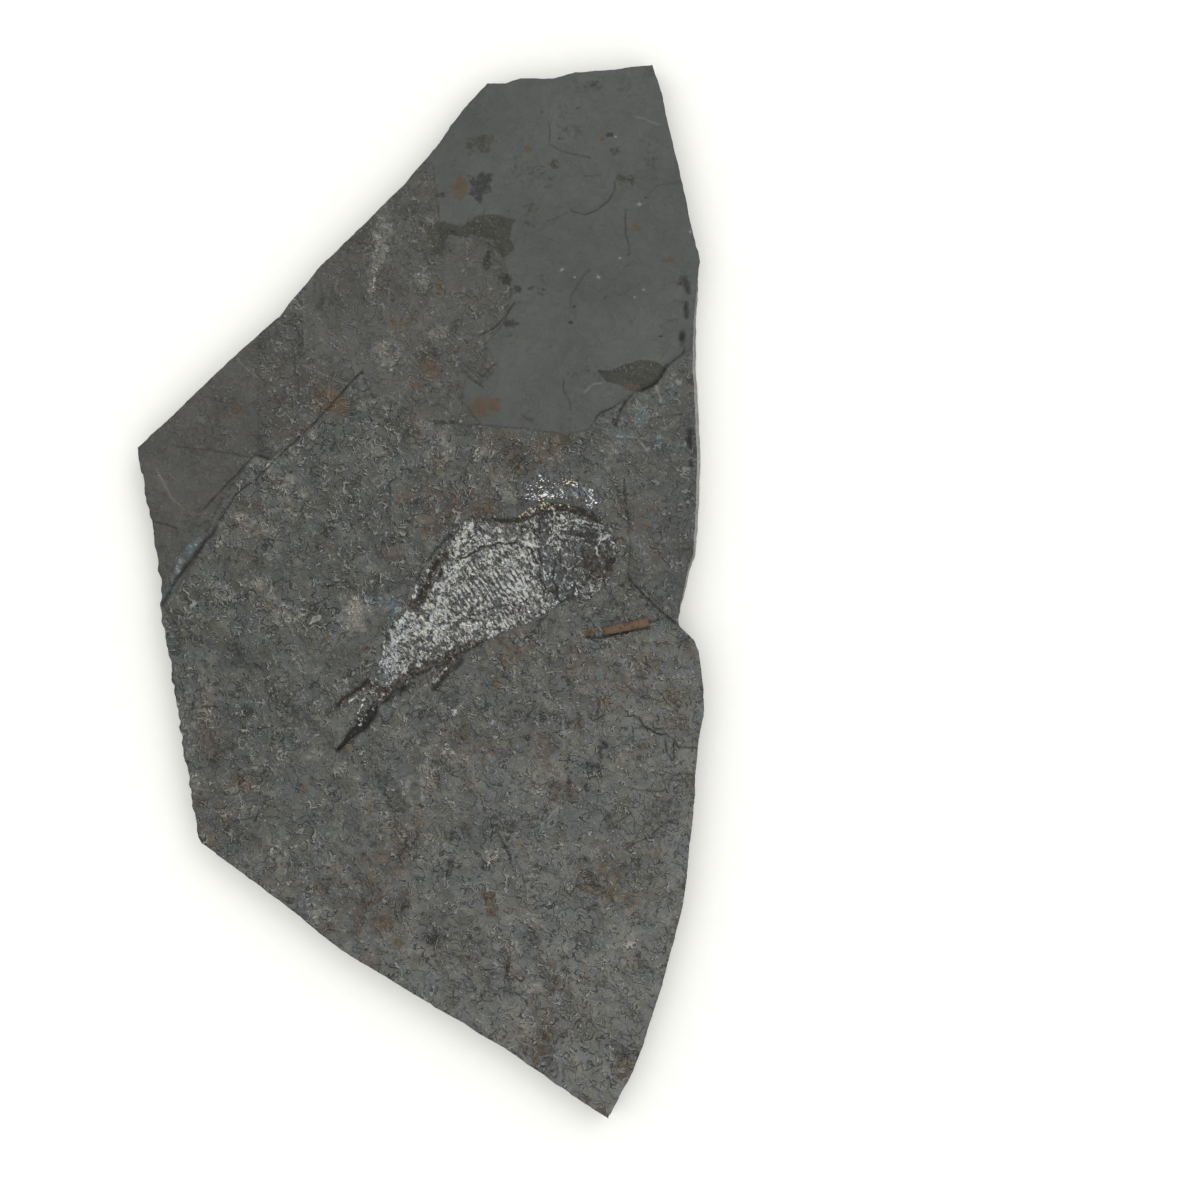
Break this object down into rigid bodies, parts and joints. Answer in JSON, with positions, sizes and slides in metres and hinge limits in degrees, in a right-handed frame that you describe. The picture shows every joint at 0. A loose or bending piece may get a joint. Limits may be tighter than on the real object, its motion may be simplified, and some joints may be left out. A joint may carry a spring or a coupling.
{
  "type": "fossil fish slab",
  "caption": "Thin broken slab of dark laminated shale with a small deep-bodied fossil fish lying in its upper face.",
  "frame": {"origin": "middle of the slab's flat underside", "axes": "+Y along the slab to its tip beyond the fish's head, +X across it towards the notched side, +Z out of the face that carries the fish"},
  "size_m": [0.105, 0.1954, 0.0067],
  "materials": {
    "shale": "matt",
    "scale_enamel": "satin",
    "loose_scales": "satin",
    "rusty_stem": "matt"
  },
  "bodies": {
    "root": {"shale_slab": "shale", "fossil_fish": "scale_enamel", "scattered_scales": "loose_scales", "stem_fragment": "rusty_stem"}
  },
  "joints": []
}
